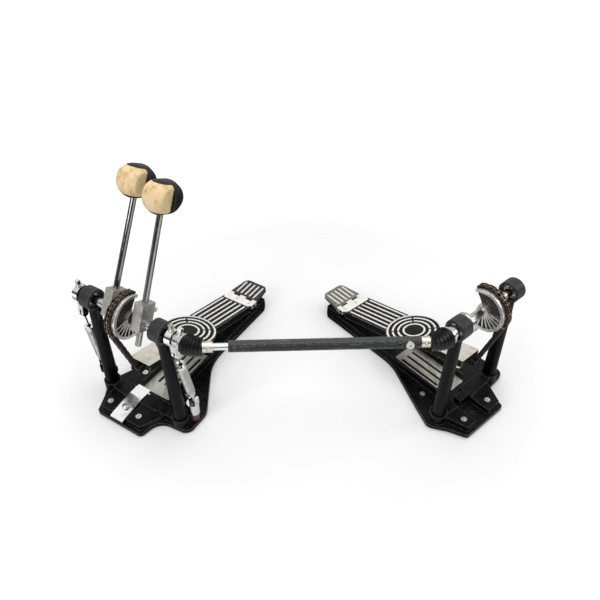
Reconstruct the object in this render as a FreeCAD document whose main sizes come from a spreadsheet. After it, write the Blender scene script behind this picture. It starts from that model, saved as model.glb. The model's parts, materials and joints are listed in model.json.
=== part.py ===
import FreeCAD, Part
import math
import os
import re

from FreeCAD import Placement, Rotation, Vector

# A double bass drum pedal: a main pedal with two beaters, a remote (slave) pedal, and the
# telescoping drive shaft that links them through two universal joints.
#
# Frame: millimetres, +Z up. The origin lies on the floor under the middle of the main pedal's
# axle. +X runs along the drive shaft to the slave pedal and +Y points to the heels.
# Each pedal is drawn in its own frame: u (x) along its axle, v (y) from toe to heel, z up.

# ---------------------------------------------------------------- driving dimensions
SIZES = [
    ("axle_height", 186.5, "floor to the axle's centre"),
    ("shaft_span", 304.5, "between the two universal joints' centres"),
    ("main_splay", 33.92, "degrees, main pedal turned from the shaft"),
    ("slave_splay", 39.17, "degrees, slave pedal turned from the shaft"),
    ("main_reach", 112.0, "main pedal's middle to its universal joint"),
    ("slave_reach", 92.0, "slave pedal's middle to its universal joint"),
    ("main_bearing", 60.0, "main pedal's middle to a bearing"),
    ("slave_bearing", 56.0, "slave pedal's middle to a bearing"),
    ("main_foot", 66.0, "main pedal's middle to a post's foot"),
    ("slave_foot", 59.0, "slave pedal's middle to a post's foot"),
    ("mat_thick", 2.0, "rubber mat"),
    ("mat_inset", 4.0, "mat's edge inside the casting's edge"),
    ("base_thick", 6.0, "base casting's floor"),
    ("wall_rise", 12.0, "casting's side walls over its floor"),
    ("wall_thick", 3.0, "casting's side walls"),
    ("lug_rise", 9.0, "front lugs over the floor"),
    ("socket_rise", 14.0, "post sockets over the floor"),
    ("socket_radius", 12.5, "post sockets"),
    ("channel_centre", -13.0, "middle of the hoop channel, along the axle"),
    ("channel_width", 28.0, "hoop channel"),
    ("front_reach", 48.0, "axle to the casting's front edge"),
    ("heel_reach", 286.0, "axle to the heel's end"),
    ("tail_half", 28.0, "half width of the narrow heel part"),
    ("plate_thick", 1.6, "steel floor plate"),
    ("slot_width", 4.5, "floor plate's slots"),
    ("post_top", 7.5, "post's radius under the housing"),
    ("post_base", 10.0, "post's radius at its socket"),
    ("housing_radius", 15.5, "bearing housing"),
    ("housing_length", 19.0, "bearing housing"),
    ("bearing_radius", 12.0, "ball bearing, outside"),
    ("bearing_length", 6.0, "ball bearing"),
    ("gusset_drop", 45.0, "gusset under a housing, down its post"),
    ("gusset_thick", 6.0, "gusset under a housing"),
    ("axle_radius", 6.0, "axles"),
    ("running_fit", 0.06, "radial clearance of a turning or sliding fit"),
    ("seat_gap", 0.3, "clearance between pieces that move past each other"),
    ("hinge_back", 237.0, "axle to the heel hinge"),
    ("hinge_height", 33.0, "floor to the heel hinge"),
    ("pin_radius", 2.5, "heel hinge pin"),
    ("board_pitch", 13.8, "degrees, footboard's slope at rest"),
    ("board_thick", 4.0, "footboard"),
    ("board_half", 27.0, "half width of the footboard's strip"),
    ("board_lift", 4.0, "footboard's top over the hinge pin's centre"),
    ("disc_back", 135.3, "hinge to the round tread's centre"),
    ("disc_radius", 42.0, "round tread"),
    ("tongue_half", 18.0, "half width of the toe tongue"),
    ("tongue_end", 240.0, "hinge to the toe's end"),
    ("skirt_drop", 8.0, "footboard's side skirts below it"),
    ("ridge_rise", 0.9, "raised tread lines"),
    ("ridge_width", 2.6, "raised tread lines"),
    ("line_pitch", 8.7, "between the tread's straight lines"),
    ("ring_pitch", 8.1, "between the tread's rings"),
    ("chain_u", 2.0, "chain's middle, along the axle"),
    ("chain_pitch", 6.35, "roller chain"),
    ("chain_width", 9.2, "over the outer link plates"),
    ("link_height", 5.6, "link plate"),
    ("link_thick", 0.9, "link plate"),
    ("roller_radius", 1.9, "chain roller"),
    ("wheel_radius", 31.5, "chain's pin circle on the wheel"),
    ("flange_radius", 31.0, "wheel's flange"),
    ("flange_thick", 1.4, "wheel's flange"),
    ("rim_width", 4.0, "wheel's raised rim, across"),
    ("rim_rise", 3.4, "wheel's raised rim, over its flange"),
    ("rib_thick", 2.0, "wheel's fan ribs"),
    ("rib_step", 16.0, "degrees between the wheel's fan ribs"),
    ("tab_reach", 3.5, "middle of the wheel's stop tab, beyond its flange"),
    ("tab_radius", 5.0, "wheel's stop tab"),
    ("hub_reach", 7.0, "wheel's hub beyond its flange's face"),
    ("toe_pin_back", 246.0, "hinge to the chain's toe pin, along the board"),
    ("main_rod_lean", 29.0, "degrees, main beater's rod leans to the heel at rest"),
    ("second_rod_lean", 25.8, "degrees, second beater's rod leans to the heel at rest"),
    ("rod_radius", 4.0, "beater rods"),
    ("main_rod_top", 170.0, "axle to the main beater head's centre"),
    ("second_rod_top", 165.0, "axle to the second beater head's centre"),
    ("rod_tail", 33.0, "rod's end below the axle"),
    ("main_rod_u", -22.3, "main beater rod, along the axle"),
    ("second_rod_u", 29.1, "second beater rod, along the axle"),
    ("holder_width", 15.0, "beater holder, along the axle"),
    ("holder_depth", 25.0, "beater holder, front to back"),
    ("holder_up", 28.0, "beater holder above the axle"),
    ("holder_down", 9.5, "beater holder below the axle"),
    ("head_radius", 21.5, "beater head"),
    ("head_length", 46.0, "beater head"),
    ("head_flank", 16.5, "head's middle to the flat flanks of its wooden face"),
    ("head_brow", 17.5, "head's middle to the rubber over and under its wooden face"),
    ("head_split", 2.0, "head's middle to the rubber behind its wooden face"),
    ("rocker_u", 80.0, "spring plane, along the axle"),
    ("rocker_thick", 9.0, "spring rockers"),
    ("rocker_arm", 32.0, "axle to the spring's pin"),
    ("main_rocker_turn", 262.0, "degrees about the axle from +v over the top, left rocker's arm"),
    ("second_rocker_turn", 273.0, "degrees about the axle from +v over the top, right rocker's arm"),
    ("main_anchor_v", 5.0, "left spring's lower pin, behind the axle"),
    ("main_anchor_z", 44.0, "left spring's lower pin, above the floor"),
    ("second_anchor_v", 17.5, "right spring's lower pin, behind the axle"),
    ("second_anchor_z", 50.0, "right spring's lower pin, above the floor"),
    ("spring_radius", 6.5, "spring coil, outside"),
    ("wire_radius", 1.1, "spring wire"),
    ("spring_length", 56.0, "spring coil"),
    ("rod_thread", 2.5, "spring's threaded rod"),
    ("yoke_radius", 8.0, "universal joint yokes"),
    ("yoke_throat", 10.0, "joint's centre to a yoke's base"),
    ("cross_half", 3.0, "half of the cross's block"),
    ("cross_pin", 1.9, "cross pins"),
    ("boot_big", 14.6, "boot's wide end"),
    ("boot_small", 12.2, "boot's narrow end"),
    ("boot_half", 12.0, "boot's end from the joint's centre"),
    ("boot_wall", 0.8, "boot's wall"),
    ("boot_groove", 1.8, "depth of the boot's grooves"),
    ("collar_radius", 7.2, "shaft collars"),
    ("collar_length", 10.5, "shaft collars"),
    ("shaft_rod", 4.6, "inner shaft rod"),
    ("rod_engage", 95.0, "inner rod's length inside the tube"),
    ("rod_bare", 19.0, "inner rod seen between collar and tube"),
    ("tube_flat", 7.2, "tube's middle to each of its flats"),
    ("tube_bore", 5.0, "tube's bore"),
    ("jaw_thick", 3.0, "hoop clamp jaw"),
    ("jaw_half", 11.5, "half width of the jaw"),
    ("clamp_screw", 2.6, "hoop clamp's screw shank"),
]

doc = FreeCAD.newDocument("double_bass_drum_pedal")
sheet = doc.addObject("Spreadsheet::Sheet", "Sizes")
for row, (alias, value, note) in enumerate(SIZES, start=1):
    sheet.set(f"A{row}", alias)
    sheet.set(f"B{row}", str(value))
    sheet.set(f"C{row}", note)
    sheet.setAlias(f"B{row}", alias)
doc.recompute()

X_AXIS = Vector(1, 0, 0)
Y_AXIS = Vector(0, 1, 0)
Z_AXIS = Vector(0, 0, 1)
nodes = []


def size(alias):
    return float(sheet.get(alias))


def bound(text):
    """A formula of size names as an expression on the sheet's cells."""
    return re.sub(r"[a-z]\w+", lambda word: "Sizes." + word.group(0), str(text))


def polar(radius, degrees):
    angle = math.radians(degrees)
    return radius * math.cos(angle), radius * math.sin(angle)


# ---------------------------------------------------------------- the pedals' own frames
main_place = Placement(Vector(0, 0, 0), Rotation(Z_AXIS, -size("main_splay")))
main_joint = main_place.multVec(Vector(size("main_reach"), 0, size("axle_height")))
slave_joint = main_joint + Vector(size("shaft_span"), 0, 0)
slave_turn = Rotation(Z_AXIS, size("slave_splay"))
slave_reach = slave_turn.multVec(Vector(-size("slave_reach"), 0, size("axle_height")))
slave_place = Placement(slave_joint - slave_reach, slave_turn)
PEDALS = {"main": main_place, "slave": slave_place, "frame": Placement()}

axle_z = size("axle_height")
mat_top = size("mat_thick")
floor_top = mat_top + size("base_thick")


# ---------------------------------------------------------------- drawing helpers
def rounded(points):
    """Edges of a closed outline; a point (x, y, r) has its corner rounded with radius r."""
    corners = []
    count = len(points)
    for index, point in enumerate(points):
        here = Vector(point[0], point[1], 0)
        radius = point[2] if len(point) > 2 else 0.0
        before = Vector(*points[index - 1][:2], 0)
        after = Vector(*points[(index + 1) % count][:2], 0)
        back = (before - here).normalize()
        ahead = (after - here).normalize()
        if radius == 0.0:
            corners.append((here, None, here))
            continue
        half = back.getAngle(ahead) / 2
        reach = radius / math.tan(half)
        middle = here + (back + ahead).normalize() * (radius / math.sin(half) - radius)
        corners.append((here + back * reach, middle, here + ahead * reach))
    edges = []
    for index, (start, middle, end) in enumerate(corners):
        if middle is not None:
            edges.append(Part.Arc(start, middle, end))
        follow = corners[(index + 1) % count][0]
        if end.distanceToPoint(follow) > 1e-6:
            edges.append(Part.LineSegment(end, follow))
    return edges


def sketch_on(body, role, loops, at):
    """A sketch on one of the body's own planes, moved along that plane's normal by at."""
    sketch = body.newObject("Sketcher::SketchObject", body.Name + "_sketch")
    plane = [entry for entry in body.Origin.OriginFeatures if entry.Role == role][0]
    sketch.AttachmentSupport = [(plane, "")]
    sketch.MapMode = "FlatFace"
    sketch.AttachmentOffset = Placement(Vector(0, 0, at), Rotation())
    for loop in loops:
        if loop[0] == "circle":
            centre = Vector(loop[1], loop[2], 0)
            sketch.addGeometry(Part.Circle(centre, Z_AXIS, loop[3]))
        else:
            sketch.addGeometry(rounded(loop))
    return sketch


def pad(body, loops, length, at=0.0, role="XY_Plane", both=False):
    feature = body.newObject("PartDesign::Pad", body.Name + "_pad")
    feature.Profile = sketch_on(body, role, loops, at)
    feature.setExpression("Length", bound(length))
    feature.Midplane = both
    return feature


def pocket(body, loops, length, at, role="XY_Plane"):
    """A cut from the sketch's plane down against the plane's normal."""
    feature = body.newObject("PartDesign::Pocket", body.Name + "_pocket")
    feature.Profile = sketch_on(body, role, loops, at)
    feature.setExpression("Length", bound(length))
    return feature


def turned(name, pedal, profile, at=Vector(), axis=Z_AXIS):
    """A turned piece: profile points (radius, along) revolved about its own axis."""
    body = doc.addObject("PartDesign::Body", name)
    feature = body.newObject("PartDesign::Revolution", name + "_turn")
    sketch = sketch_on(body, "XZ_Plane", [profile], 0.0)
    feature.Profile = sketch
    feature.ReferenceAxis = (sketch, ["V_Axis"])
    feature.Angle = 360.0
    return finish(body, name, pedal, Placement(at, Rotation(Z_AXIS, axis)))


def finish(thing, name, pedal, place=Placement()):
    """Names a sub-part and places it with its pedal; without a pedal it waits for its group."""
    thing.Label = name
    if pedal is None:
        thing.Placement = place
        return thing
    thing.Placement = PEDALS[pedal].multiply(place)
    nodes.append(thing)
    return thing


def grouped(name, pedal, things):
    """Separate solids of one kind, kept side by side in one sub-part."""
    group = doc.addObject("Part::Compound", name)
    group.Links = things
    return finish(group, name, pedal)


def made(name, pedal, shape, place=Placement()):
    """A sub-part whose shape is worked out from the sheet's sizes."""
    thing = doc.addObject("Part::Feature", name)
    thing.Shape = shape
    return finish(thing, name, pedal, place)


def cone_between(start, end, start_radius, end_radius):
    along = end - start
    if start_radius == end_radius:
        return Part.makeCylinder(start_radius, along.Length, start, along)
    return Part.makeCone(start_radius, end_radius, along.Length, start, along)


def rectangle(left, right, low, high, radius=0.0):
    return [(left, low, radius), (right, low, radius), (right, high, radius), (left, high, radius)]


def circle(x, y, radius):
    return ("circle", x, y, radius)


# ---------------------------------------------------------------- base: mat, casting, plate
def base_outline(inset):
    """Floor outline: square front, a lobe under the springs, a waist, a narrow tail."""
    front = -size("front_reach") + inset
    tail = size("tail_half") - inset
    heel = size("heel_reach") - 14.0 - inset
    lobe = 86.0 - inset
    return [
        (-51.0 + inset, front, 6.0),
        (31.0 - inset, front, 6.0),
        (37.0 - inset, -14.0 + inset, 22.0),
        (lobe, -9.0 + inset, 13.0),
        (lobe - 1.0, 34.0, 22.0),
        (tail + 1.0, 118.0, 90.0),
        (tail, heel, 8.0),
        (-tail, heel, 8.0),
        (-tail - 1.0, 118.0, 90.0),
        (-66.0 + inset, 34.0, 30.0),
        (-79.0 + inset, 2.0, 13.0),
        (-63.0 + inset, -22.0, 20.0),
    ]


def channel_edges():
    half = size("channel_width") / 2
    return size("channel_centre") - half, size("channel_centre") + half


JAW_HINGE = 9.0
CLAMP_BACK = -27.0
SCREWS = [(-40.0, -30.0), (14.0, -30.0), (42.0, 44.0), (-42.0, 44.0)]


def base(pedal):
    mat = doc.addObject("PartDesign::Body", pedal + "_floor_mat")
    pad(mat, [base_outline(size("mat_inset"))], "mat_thick")
    finish(mat, pedal + "_floor_mat", pedal)

    name = pedal + "_base_casting"
    casting = doc.addObject("PartDesign::Body", name)
    foot = size(pedal + "_foot")
    left, right = channel_edges()
    tail = size("tail_half")
    inner = tail - size("wall_thick")
    heel = size("heel_reach") - 18.0
    under = 0.5
    pad(casting, [base_outline(0.0)], "base_thick", mat_top)
    side_walls = [rectangle(-tail, -inner, 24.0, heel), rectangle(inner, tail, 24.0, heel)]
    pad(casting, side_walls, f"wall_rise + {under}", floor_top - under)
    front = -size("front_reach") + 5.0
    lugs = [
        [(-46.0, front, 3.0), (left, front, 2.0), (left, -8.0, 1.0), (-56.0, -8.0, 4.0)],
        [(right, front, 2.0), (26.0, front, 3.0), (44.0, -8.0, 4.0), (right, -8.0, 1.0)],
    ]
    pad(casting, lugs, f"lug_rise + {under}", floor_top - under)
    webs = [
        [(-foot, -7.0), (left, -11.0), (left, 12.0, 4.0), (-foot, 9.0)],
        [(right, -11.0), (foot, -7.0), (foot, 9.0), (right, 12.0, 4.0)],
    ]
    pad(casting, webs, f"socket_rise - 2 + {under}", floor_top - under)
    sockets = [circle(-foot, 1.0, size("socket_radius")), circle(foot, 1.0, size("socket_radius"))]
    pad(casting, sockets, f"socket_rise + {under}", floor_top - under)
    heel_blocks = [
        rectangle(-tail, -inner + 7.0, size("hinge_back") + 4.0, heel, 1.0),
        rectangle(inner - 7.0, tail, size("hinge_back") + 4.0, heel, 1.0),
    ]
    pad(casting, heel_blocks, f"wall_rise + 6 + {under}", floor_top - under)
    holes = [circle(x, y, 2.2) for x, y in SCREWS]
    pocket(casting, holes, "lug_rise + base_thick - 1", floor_top + size("lug_rise"))
    tapped = circle(size("channel_centre"), CLAMP_BACK, size("clamp_screw") + size("running_fit"))
    pocket(casting, [tapped], "base_thick - 2", floor_top)
    if pedal == "slave":
        block = rectangle(left + 4.0, right - 4.0, -9.0, 3.0, 1.5)
        pad(casting, [block], f"socket_rise + 4 + {under}", floor_top - under)
    finish(casting, name, pedal)

    screws = []
    for x, y in SCREWS:
        seat = floor_top + (size("lug_rise") if y < 0 else 0.0)
        shank = Part.makeCylinder(2.0, seat - mat_top - 1.5, Vector(x, y, mat_top + 1.5))
        head = Part.makeCylinder(4.2, 2.4, Vector(x, y, seat))
        drive = Part.makeBox(1.2, 7.0, 1.2, Vector(x - 0.6, y - 3.5, seat + 1.4))
        screws.append(shank.fuse(head).removeSplitter().cut(drive))
    made(pedal + "_base_screws", pedal, Part.makeCompound(screws))

    plate = doc.addObject("PartDesign::Body", pedal + "_floor_plate")
    half = inner - 0.4
    slots = []
    for x in (-12.0, 0.0, 12.0):
        reach = size("slot_width") / 2
        slots.append(rectangle(x - reach, x + reach, 40.0, 112.0, reach * 0.98))
    outline = rectangle(-half, half, 20.0, size("hinge_back") + 2.0, 3.0)
    pad(plate, [outline] + slots, "plate_thick", floor_top)
    finish(plate, pedal + "_floor_plate", pedal)


# ---------------------------------------------------------------- posts, housings, bearings
def uprights(pedal):
    seat = floor_top + size("socket_rise")
    posts = []
    units = []
    for word, sign in (("left", -1.0), ("right", 1.0)):
        top = Vector(sign * size(pedal + "_bearing"), 0, axle_z)
        foot = Vector(sign * size(pedal + "_foot"), 1.0, seat - 8.0)
        post = cone_between(foot, top, size("post_base"), size("post_top"))
        side = -size("gusset_thick") / 2
        under = axle_z - size("housing_radius") + 2.0
        far = top.x - sign * (size("housing_length") / 2 + 5.0)
        low = Vector(top.x + sign * 2.0, side, under - size("gusset_drop"))
        corners = [Vector(far, side, under), Vector(top.x, side, under), low]
        gusset = Part.Face(Part.makePolygon(corners + corners[:1]))
        post = post.fuse(gusset.extrude(Y_AXIS * size("gusset_thick")))
        ground = Part.makeBox(60, 60, 30, Vector(foot.x - 30, -30, seat - 30))
        saddle_radius = size("housing_radius") + size("running_fit")
        saddle = Part.makeCylinder(saddle_radius, 60.0, top - X_AXIS * 30.0, X_AXIS)
        post = post.cut(saddle).cut(ground)
        column = sorted(post.Solids, key=lambda solid: solid.Volume)[-1]
        posts.append(made(f"{pedal}_{word}_post", None, column))

        half = size("housing_length") / 2
        bore = size("bearing_radius")
        shell = size("housing_radius")
        lip = bore - 2.0
        seat_end = size("bearing_length") / 2
        housing = [
            (bore, -half), (shell, -half, 1.6), (shell, half, 1.6), (bore, half),
            (bore, seat_end + 2.5), (lip, seat_end + 2.5), (lip, seat_end), (bore, seat_end),
        ]
        units.append(turned(f"{pedal}_{word}_housing", None, housing, top, X_AXIS))

    ball = size("bearing_length") / 2
    for word, sign in (("left", -1.0), ("right", 1.0)):
        centre = Vector(sign * size(pedal + "_bearing"), 0, axle_z)
        ring_radius = size("bearing_radius") - size("running_fit")
        outer = Part.makeCylinder(ring_radius, 2 * ball, centre - X_AXIS * ball, X_AXIS)
        hole = size("axle_radius") + size("running_fit")
        inner = Part.makeCylinder(hole, 2 * ball, centre - X_AXIS * ball, X_AXIS)
        track = (size("axle_radius") + size("bearing_radius")) / 2
        groove = Part.makeTorus(track, 1.4, centre - X_AXIS * (ball + 0.7), X_AXIS)
        ring_shape = outer.cut(inner).cut(groove)
        units.append(made(f"{pedal}_{word}_bearing", None, ring_shape))
    grouped(pedal + "_posts", pedal, posts)
    grouped(pedal + "_bearing_units", pedal, units)


# ---------------------------------------------------------------- heel and footboard
def heel(pedal):
    name = pedal + "_heel_plate"
    hinge_v = size("hinge_back")
    hinge_z = size("hinge_height")
    end = size("heel_reach")
    half = size("tail_half") - 1.0
    plate = doc.addObject("PartDesign::Body", name)
    under = hinge_z - 3.0
    outline = [(-half, hinge_v + 8.5, 1.0), (half, hinge_v + 8.5, 1.0), (half - 6.0, end, 9.0),
               (-half + 6.0, end, 9.0)]
    pad(plate, [outline], "board_thick + 1", under)
    knuckles = []
    for low, high in KNUCKLES["heel"]:
        knuckles.append(rectangle(low, high, hinge_v - 4.6, hinge_v + 9.5))
    pad(plate, knuckles, "board_thick + 3.2", under - 1.6)
    lines = []
    ridge = size("ridge_width") / 2
    for step in range(-2, 3):
        x = step * 8.4
        lines.append(rectangle(x - ridge, x + ridge, hinge_v + 13.0, end - 6.0, ridge * 0.95))
    pad(plate, lines, "ridge_rise + 0.2", under + size("board_thick") + 0.8)
    skirt = [rectangle(-14.0, 14.0, hinge_v + 10.0, end - 20.0, 2.0)]
    pad(plate, skirt, under - floor_top + 0.5, floor_top)
    hole = size("pin_radius") + size("running_fit")
    pocket(plate, [circle(hinge_v, hinge_z, hole)], 2 * half + 4, half + 2.0, role="YZ_Plane")
    finish(plate, name, pedal)


KNUCKLES = {
    "heel": [(-26.5, -18.3), (-5.7, 5.7), (18.3, 26.5)],
    "board": [(-17.9, -6.1), (6.1, 17.9)],
}


TREAD_EDGE = 0.6
TREAD_BREAK = 3.0
BROKEN_RINGS = (1, 2)


def ring(radius, width, gap_from, gap_to):
    """Part of a tread ring, between two angles in degrees."""
    inner = radius - width / 2
    outer = radius + width / 2
    back = -size("disc_back")
    steps = []
    for bound_radius in (inner, outer):
        points = []
        for angle in (gap_from, (gap_from + gap_to) / 2, gap_to):
            x, y = polar(bound_radius, angle)
            points.append(Vector(x, y + back, 0))
        steps.append(points)
    low, high = steps
    edges = [
        Part.Arc(*low).toShape(),
        Part.LineSegment(low[2], high[2]).toShape(),
        Part.Arc(*high).toShape(),
        Part.LineSegment(high[0], low[0]).toShape(),
    ]
    face = Part.Face(Part.Wire(Part.__sortEdges__(edges)))
    return face.extrude(Vector(0, 0, size("ridge_rise") + 0.2))


def footboard(pedal):
    half = size("board_half")
    tongue = size("tongue_half")
    back = size("disc_back")
    radius = size("disc_radius")
    end = size("tongue_end")
    thick = size("board_thick")
    lift = size("board_lift")
    body = doc.addObject("PartDesign::Body", pedal + "_board_body")
    strip = rectangle(-half, half, -back, -8.0, 1.0)
    pad(body, [strip], "board_thick", lift - thick)
    pad(body, [circle(0.0, -back, radius)], "board_thick", lift - thick)
    pad(body, [rectangle(-tongue, tongue, -end, -back, 2.0)], "board_thick", lift - thick)
    skirt_far = back - math.sqrt(radius**2 - half**2) - 2.0
    skirts = [
        rectangle(-half, -half + 2.2, -skirt_far, -9.0),
        rectangle(half - 2.2, half, -skirt_far, -9.0),
        rectangle(-tongue, -tongue + 2.2, -end + 3.0, -skirt_far - 8.0),
        rectangle(tongue - 2.2, tongue, -end + 3.0, -skirt_far - 8.0),
    ]
    pad(body, skirts, "skirt_drop + 0.5", lift - thick - size("skirt_drop"))
    knuckles = [rectangle(low, high, -10.0, 4.6) for low, high in KNUCKLES["board"]]
    pad(body, knuckles, "board_thick + 3.2", lift - thick - 3.6)
    hole = size("pin_radius") + size("running_fit")
    pocket(body, [circle(0.0, 0.0, hole)], 2 * half + 4, half + 2.0, role="YZ_Plane")
    ridge = size("ridge_width") / 2
    lines = []
    for step in range(6):
        x = (step - 2.5) * size("line_pitch")
        far = back - math.sqrt((radius - 1.0) ** 2 - x**2) - 1.5
        lines.append(rectangle(x - ridge, x + ridge, -far, -19.0, ridge * 0.95))
    lines.append(rectangle(-half + 3.0, half - 3.0, -13.0 - 2 * ridge, -13.0, ridge * 0.95))
    pad(body, lines, "ridge_rise + 0.2", lift - 0.2)
    doc.recompute()
    rings = []
    for step in range(4):
        ring_radius = radius - ridge - TREAD_EDGE - step * size("ring_pitch")
        if step not in BROKEN_RINGS:
            rise = size("ridge_rise") + 0.2
            whole = Part.makeCylinder(ring_radius + ridge, rise, Vector(0, -back, 0))
            rings.append(whole.cut(Part.makeCylinder(ring_radius - ridge, rise, Vector(0, -back, 0))))
            continue
        share = math.degrees(TREAD_BREAK / 2 / ring_radius)
        for turn in (45.0, 135.0, 225.0, 315.0):
            rings.append(ring(ring_radius, 2 * ridge, turn + share, turn + 90.0 - share))
    treads = doc.addObject("Part::Feature", pedal + "_tread_rings")
    treads.Shape = Part.makeCompound(rings)
    treads.Placement = Placement(Vector(0, 0, lift - 0.2), Rotation())
    board = doc.addObject("Part::Fuse", pedal + "_footboard")
    board.Base = body
    board.Tool = treads
    finish(board, pedal + "_footboard", pedal, board_place())

    clip = doc.addObject("PartDesign::Body", pedal + "_toe_clip")
    pin_back = size("toe_pin_back")
    chain = size("chain_u")
    gap = size("chain_width") / 2 + 0.6
    low = lift - thick - 5.5
    plate = [rectangle(chain - 13.0, chain + 13.0, -end - 2.2, -end + 8.0, 1.0)]
    pad(clip, plate, 2.4, lift - thick - 2.4)
    ears = [
        rectangle(chain - gap - 3.0, chain - gap, -pin_back - 4.0, -end - 0.1, 0.8),
        rectangle(chain + gap, chain + gap + 3.0, -pin_back - 4.0, -end - 0.1, 0.8),
    ]
    pad(clip, ears, 9.0, low - 2.0)
    hole = size("cross_pin") + size("running_fit")
    pocket(clip, [circle(-pin_back, TOE_PIN_DROP, hole)], 40.0, chain + 20.0, role="YZ_Plane")
    finish(clip, pedal + "_toe_clip", None, board_place())

    across = Rotation(Z_AXIS, X_AXIS)
    toe_pin = doc.addObject("Part::Cylinder", pedal + "_toe_pin")
    toe_pin.setExpression("Radius", bound("cross_pin"))
    toe_pin.setExpression("Height", bound("chain_width + 9"))
    start = Vector(chain - size("chain_width") / 2 - 4.5, -pin_back, TOE_PIN_DROP)
    finish(toe_pin, pedal + "_toe_pin", None, board_place().multiply(Placement(start, across)))
    hinge_pin = doc.addObject("Part::Cylinder", pedal + "_hinge_pin")
    hinge_pin.setExpression("Radius", bound("pin_radius"))
    hinge_pin.setExpression("Height", bound("2 * tail_half - 2"))
    start = Vector(-size("tail_half") + 1.0, 0, 0)
    finish(hinge_pin, pedal + "_hinge_pin", None, board_place().multiply(Placement(start, across)))
    grouped(pedal + "_board_fittings", pedal, [clip, toe_pin, hinge_pin])


TOE_PIN_DROP = -3.6


def board_place():
    """Footboard frame: origin on the hinge, y from the toe to the heel, z off the tread."""
    hinge = Vector(0, size("hinge_back"), size("hinge_height"))
    return Placement(hinge, Rotation(X_AXIS, -size("board_pitch")))


# ---------------------------------------------------------------- chain and its wheel
def toe_point():
    """Toe pin's (v, z) in the pedal's frame."""
    point = board_place().multVec(Vector(0, -size("toe_pin_back"), TOE_PIN_DROP))
    return point.y, point.z


def tangent_degrees():
    """Where the hanging chain meets the wheel, as an angle about the axle from +v over the top."""
    v, z = toe_point()
    toward = math.degrees(math.atan2(z - axle_z, v)) % 360.0
    spread = math.degrees(math.acos(size("wheel_radius") / math.hypot(v, z - axle_z)))
    return toward - spread


def link_step():
    return math.degrees(2 * math.asin(size("chain_pitch") / 2 / size("wheel_radius")))


def link_plate(start, end, u, thick):
    """One figure of chain plate between two pins, given as (v, z) points."""
    first = Vector(u, start[0], start[1])
    second = Vector(u, end[0], end[1])
    along = (second - first).normalize()
    across = X_AXIS.cross(along) * (size("link_height") / 2)
    reach = along * (size("link_height") / 2)
    edges = [
        Part.LineSegment(first + across, second + across).toShape(),
        Part.Arc(second + across, second + reach, second - across).toShape(),
        Part.LineSegment(second - across, first - across).toShape(),
        Part.Arc(first - across, first - reach, first + across).toShape(),
    ]
    return Part.Face(Part.Wire(edges)).extrude(X_AXIS * thick)


def chain_run(pins):
    """Roller chain through a row of pin points (v, z): plates by turns outside and inside."""
    width = size("chain_width")
    thick = size("link_thick")
    middle = size("chain_u")
    pieces = []
    for v, z in pins:
        start = Vector(middle - width / 2, v, z)
        pieces.append(Part.makeCylinder(size("roller_radius"), width, start, X_AXIS))
    for index, (start, end) in enumerate(zip(pins, pins[1:])):
        inset = thick if index % 2 else 0.0
        offset = middle - width / 2 + inset
        pieces.append(link_plate(start, end, offset, thick))
        pieces.append(link_plate(start, end, middle + width / 2 - inset - thick, thick))
        pieces.append(link_plate(start, end, middle - thick * (1.0 if index % 2 else 0.0), thick))
    return pieces[0].multiFuse(pieces[1:])


WRAP_LINKS = 12
SPAN_LINKS = 13


def chain(pedal):
    meet = tangent_degrees()
    wrap = []
    for index in range(WRAP_LINKS + 1):
        v, z = polar(size("wheel_radius"), meet - link_step() * (WRAP_LINKS - index))
        wrap.append((v, z + axle_z))
    made(pedal + "_chain_wrap", pedal, chain_run(wrap))
    toe_v, toe_z = toe_point()
    top_v, top_z = wrap[-1]
    gap = size("chain_pitch") + OPEN_PIVOT_GAP
    reach = math.hypot(top_v - toe_v, top_z - toe_z)
    length = reach - gap
    span = []
    for index in range(SPAN_LINKS + 1):
        share = index * length / SPAN_LINKS / reach
        span.append((toe_v + (top_v - toe_v) * share, toe_z + (top_z - toe_z) * share))
    run = chain_run(span)
    middle = size("chain_u")
    start = Vector(middle - 20, toe_v, toe_z)
    clear = Part.makeCylinder(size("cross_pin") + size("running_fit"), 40.0, start, X_AXIS)
    sleeve = Part.makeCylinder(2.8, size("chain_width"),
                               Vector(middle - size("chain_width") / 2, toe_v, toe_z), X_AXIS)
    made(pedal + "_chain_span", pedal, run.fuse(sleeve).cut(clear))


OPEN_PIVOT_GAP = 1.2
WHEEL_SWING = 45.0
RIB_START = 182.0


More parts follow.
